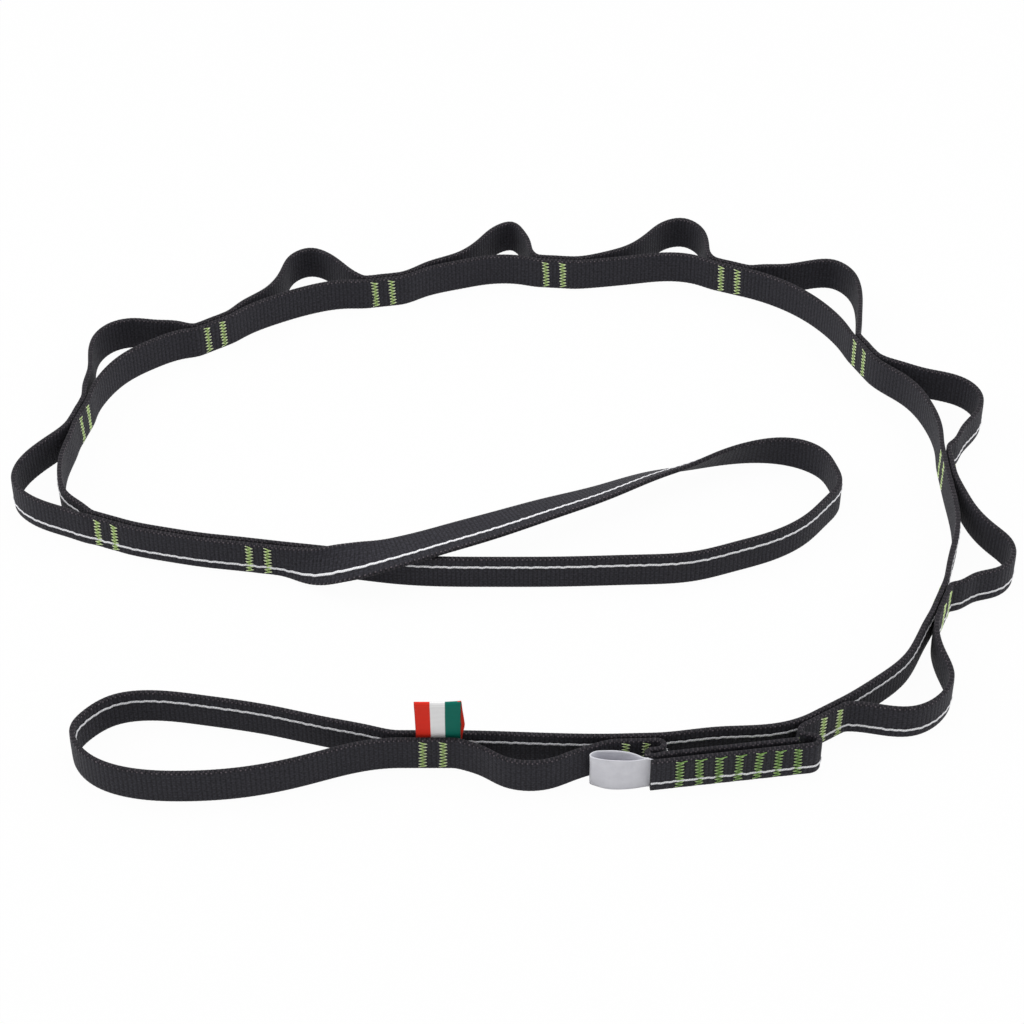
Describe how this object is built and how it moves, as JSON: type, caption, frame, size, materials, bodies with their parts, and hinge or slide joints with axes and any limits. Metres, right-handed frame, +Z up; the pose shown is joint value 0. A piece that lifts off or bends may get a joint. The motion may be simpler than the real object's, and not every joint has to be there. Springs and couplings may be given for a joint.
{
  "type": "climbing daisy chain",
  "caption": "Flat webbing sewn with bar tacks into a chain of pockets, with a loop at each end, a lap splice, a bare label and a striped tab.",
  "frame": {"origin": "under the middle of the chain's bounding box, on the surface that it stands on", "axes": "+X along the longest side of the curl, towards the splice; +Y away from the end loop's side; +Z up, across the webbing"},
  "size_m": [0.4288, 0.3572, 0.0355],
  "materials": {
    "webbing": "woven nylon, matt with a soft sheen, fine ribs across",
    "stitching": "green polyester sewing thread, satin",
    "label": "smooth white-grey woven label, bare",
    "ribbon": "woven ribbon in red, white and green stripes"
  },
  "bodies": {
    "pocket_07_body": {"bar_tack_07b": "stitching", "bar_tack_08a": "stitching", "slack_07": "webbing", "spine_07": "webbing"},
    "small_end_loop_body": {"small_end_loop": "webbing"},
    "pocket_01_body": {"bar_tack_01a": "stitching", "bar_tack_01b": "stitching", "bar_tack_02a": "stitching", "slack_01": "webbing", "spine_01": "webbing", "tab_tail": "ribbon"},
    "pocket_02_body": {"bar_tack_02b": "stitching", "bar_tack_03a": "stitching", "label_tail": "label", "spine_02": "webbing", "splice_back_layer": "webbing", "splice_front_layer": "webbing", "splice_tacks": "stitching"},
    "pocket_03_body": {"bar_tack_03b": "stitching", "bar_tack_04a": "stitching", "slack_03": "webbing", "spine_03": "webbing"},
    "pocket_04_body": {"bar_tack_04b": "stitching", "bar_tack_05a": "stitching", "slack_04": "webbing", "spine_04": "webbing"},
    "pocket_05_body": {"bar_tack_05b": "stitching", "bar_tack_06a": "stitching", "slack_05": "webbing", "spine_05": "webbing"},
    "pocket_06_body": {"bar_tack_06b": "stitching", "bar_tack_07a": "stitching", "slack_06": "webbing", "spine_06": "webbing"},
    "pocket_08_body": {"bar_tack_08b": "stitching", "bar_tack_09a": "stitching", "slack_08": "webbing", "spine_08": "webbing"},
    "pocket_09_body": {"bar_tack_09b": "stitching", "bar_tack_10a": "stitching", "slack_09": "webbing", "spine_09": "webbing"},
    "pocket_10_body": {"bar_tack_10b": "stitching", "bar_tack_11a": "stitching", "slack_10": "webbing", "spine_10": "webbing"},
    "pocket_11_body": {"bar_tack_11b": "stitching", "bar_tack_12a": "stitching", "slack_11": "webbing", "spine_11": "webbing"},
    "pocket_12_body": {"bar_tack_12b": "stitching", "bar_tack_13a": "stitching", "slack_12": "webbing", "spine_12": "webbing"},
    "big_end_loop_body": {"bar_tack_13b": "stitching", "big_end_loop": "webbing"},
    "label_body": {"label_loop": "label"},
    "tab_body": {"tab_loop": "ribbon"}
  },
  "joints": [
    {"name": "bend_07", "type": "hinge", "parent": "pocket_07_body", "child": "pocket_06_body", "pos_m": [0.10602, 0.14217, 0.0085], "axis": [0, 0, 1], "range_deg": [-14, 45]},
    {"name": "bend_06", "type": "hinge", "parent": "pocket_06_body", "child": "pocket_05_body", "pos_m": [0.16324, 0.08325, 0.0085], "axis": [0, 0, -1], "range_deg": [-45, 16]},
    {"name": "bend_05", "type": "hinge", "parent": "pocket_05_body", "child": "pocket_04_body", "pos_m": [0.19241, 0.00542, 0.0085], "axis": [0, 0, 1], "range_deg": [-14, 45]},
    {"name": "bend_04", "type": "hinge", "parent": "pocket_04_body", "child": "pocket_03_body", "pos_m": [0.18011, -0.07991, 0.0085], "axis": [0, 0, -1], "range_deg": [-45, 14]},
    {"name": "bend_03", "type": "hinge", "parent": "pocket_03_body", "child": "pocket_02_body", "pos_m": [0.12762, -0.14389, 0.0085], "axis": [0, 0, 1], "range_deg": [-16, 45]},
    {"name": "bend_02", "type": "hinge", "parent": "pocket_02_body", "child": "pocket_01_body", "pos_m": [0.05085, -0.15913, 0.0085], "axis": [0, 0, -1], "range_deg": [-6, 20]},
    {"name": "bend_01", "type": "hinge", "parent": "pocket_01_body", "child": "small_end_loop_body", "pos_m": [-0.03802, -0.15815, 0.0085], "axis": [0, 0, 1], "range_deg": [-40, 45]},
    {"name": "bend_08", "type": "hinge", "parent": "pocket_07_body", "child": "pocket_08_body", "pos_m": [0.02273, 0.14658, 0.0085], "axis": [0, 0, 1], "range_deg": [-45, 14]},
    {"name": "bend_09", "type": "hinge", "parent": "pocket_08_body", "child": "pocket_09_body", "pos_m": [-0.05828, 0.13239, 0.0085], "axis": [0, 0, -1], "range_deg": [-14, 45]},
    {"name": "bend_10", "type": "hinge", "parent": "pocket_09_body", "child": "pocket_10_body", "pos_m": [-0.13562, 0.10012, 0.0085], "axis": [0, 0, 1], "range_deg": [-28, 14]},
    {"name": "bend_11", "type": "hinge", "parent": "pocket_10_body", "child": "pocket_11_body", "pos_m": [-0.18982, 0.03777, 0.0085], "axis": [0, 0, -1], "range_deg": [-16, 20]},
    {"name": "bend_12", "type": "hinge", "parent": "pocket_11_body", "child": "pocket_12_body", "pos_m": [-0.16953, -0.03354, 0.0085], "axis": [0, 0, 1], "range_deg": [-20, 24]},
    {"name": "bend_13", "type": "hinge", "parent": "pocket_12_body", "child": "big_end_loop_body", "pos_m": [-0.10417, -0.04845, 0.0085], "axis": [0, 0, -1], "range_deg": [-32, 24]},
    {"name": "label_fold", "type": "hinge", "parent": "pocket_02_body", "child": "label_body", "pos_m": [0.0552, -0.17021, 0.0085], "axis": [0, 0, 1], "range_deg": [0, 60]},
    {"name": "tab_fold", "type": "hinge", "parent": "pocket_01_body", "child": "tab_body", "pos_m": [-0.02642, -0.15815, 0.0179], "axis": [1, 0, 0], "range_deg": [-75, 75], "stiffness_Nm_per_rad": 0.0008}
  ]
}
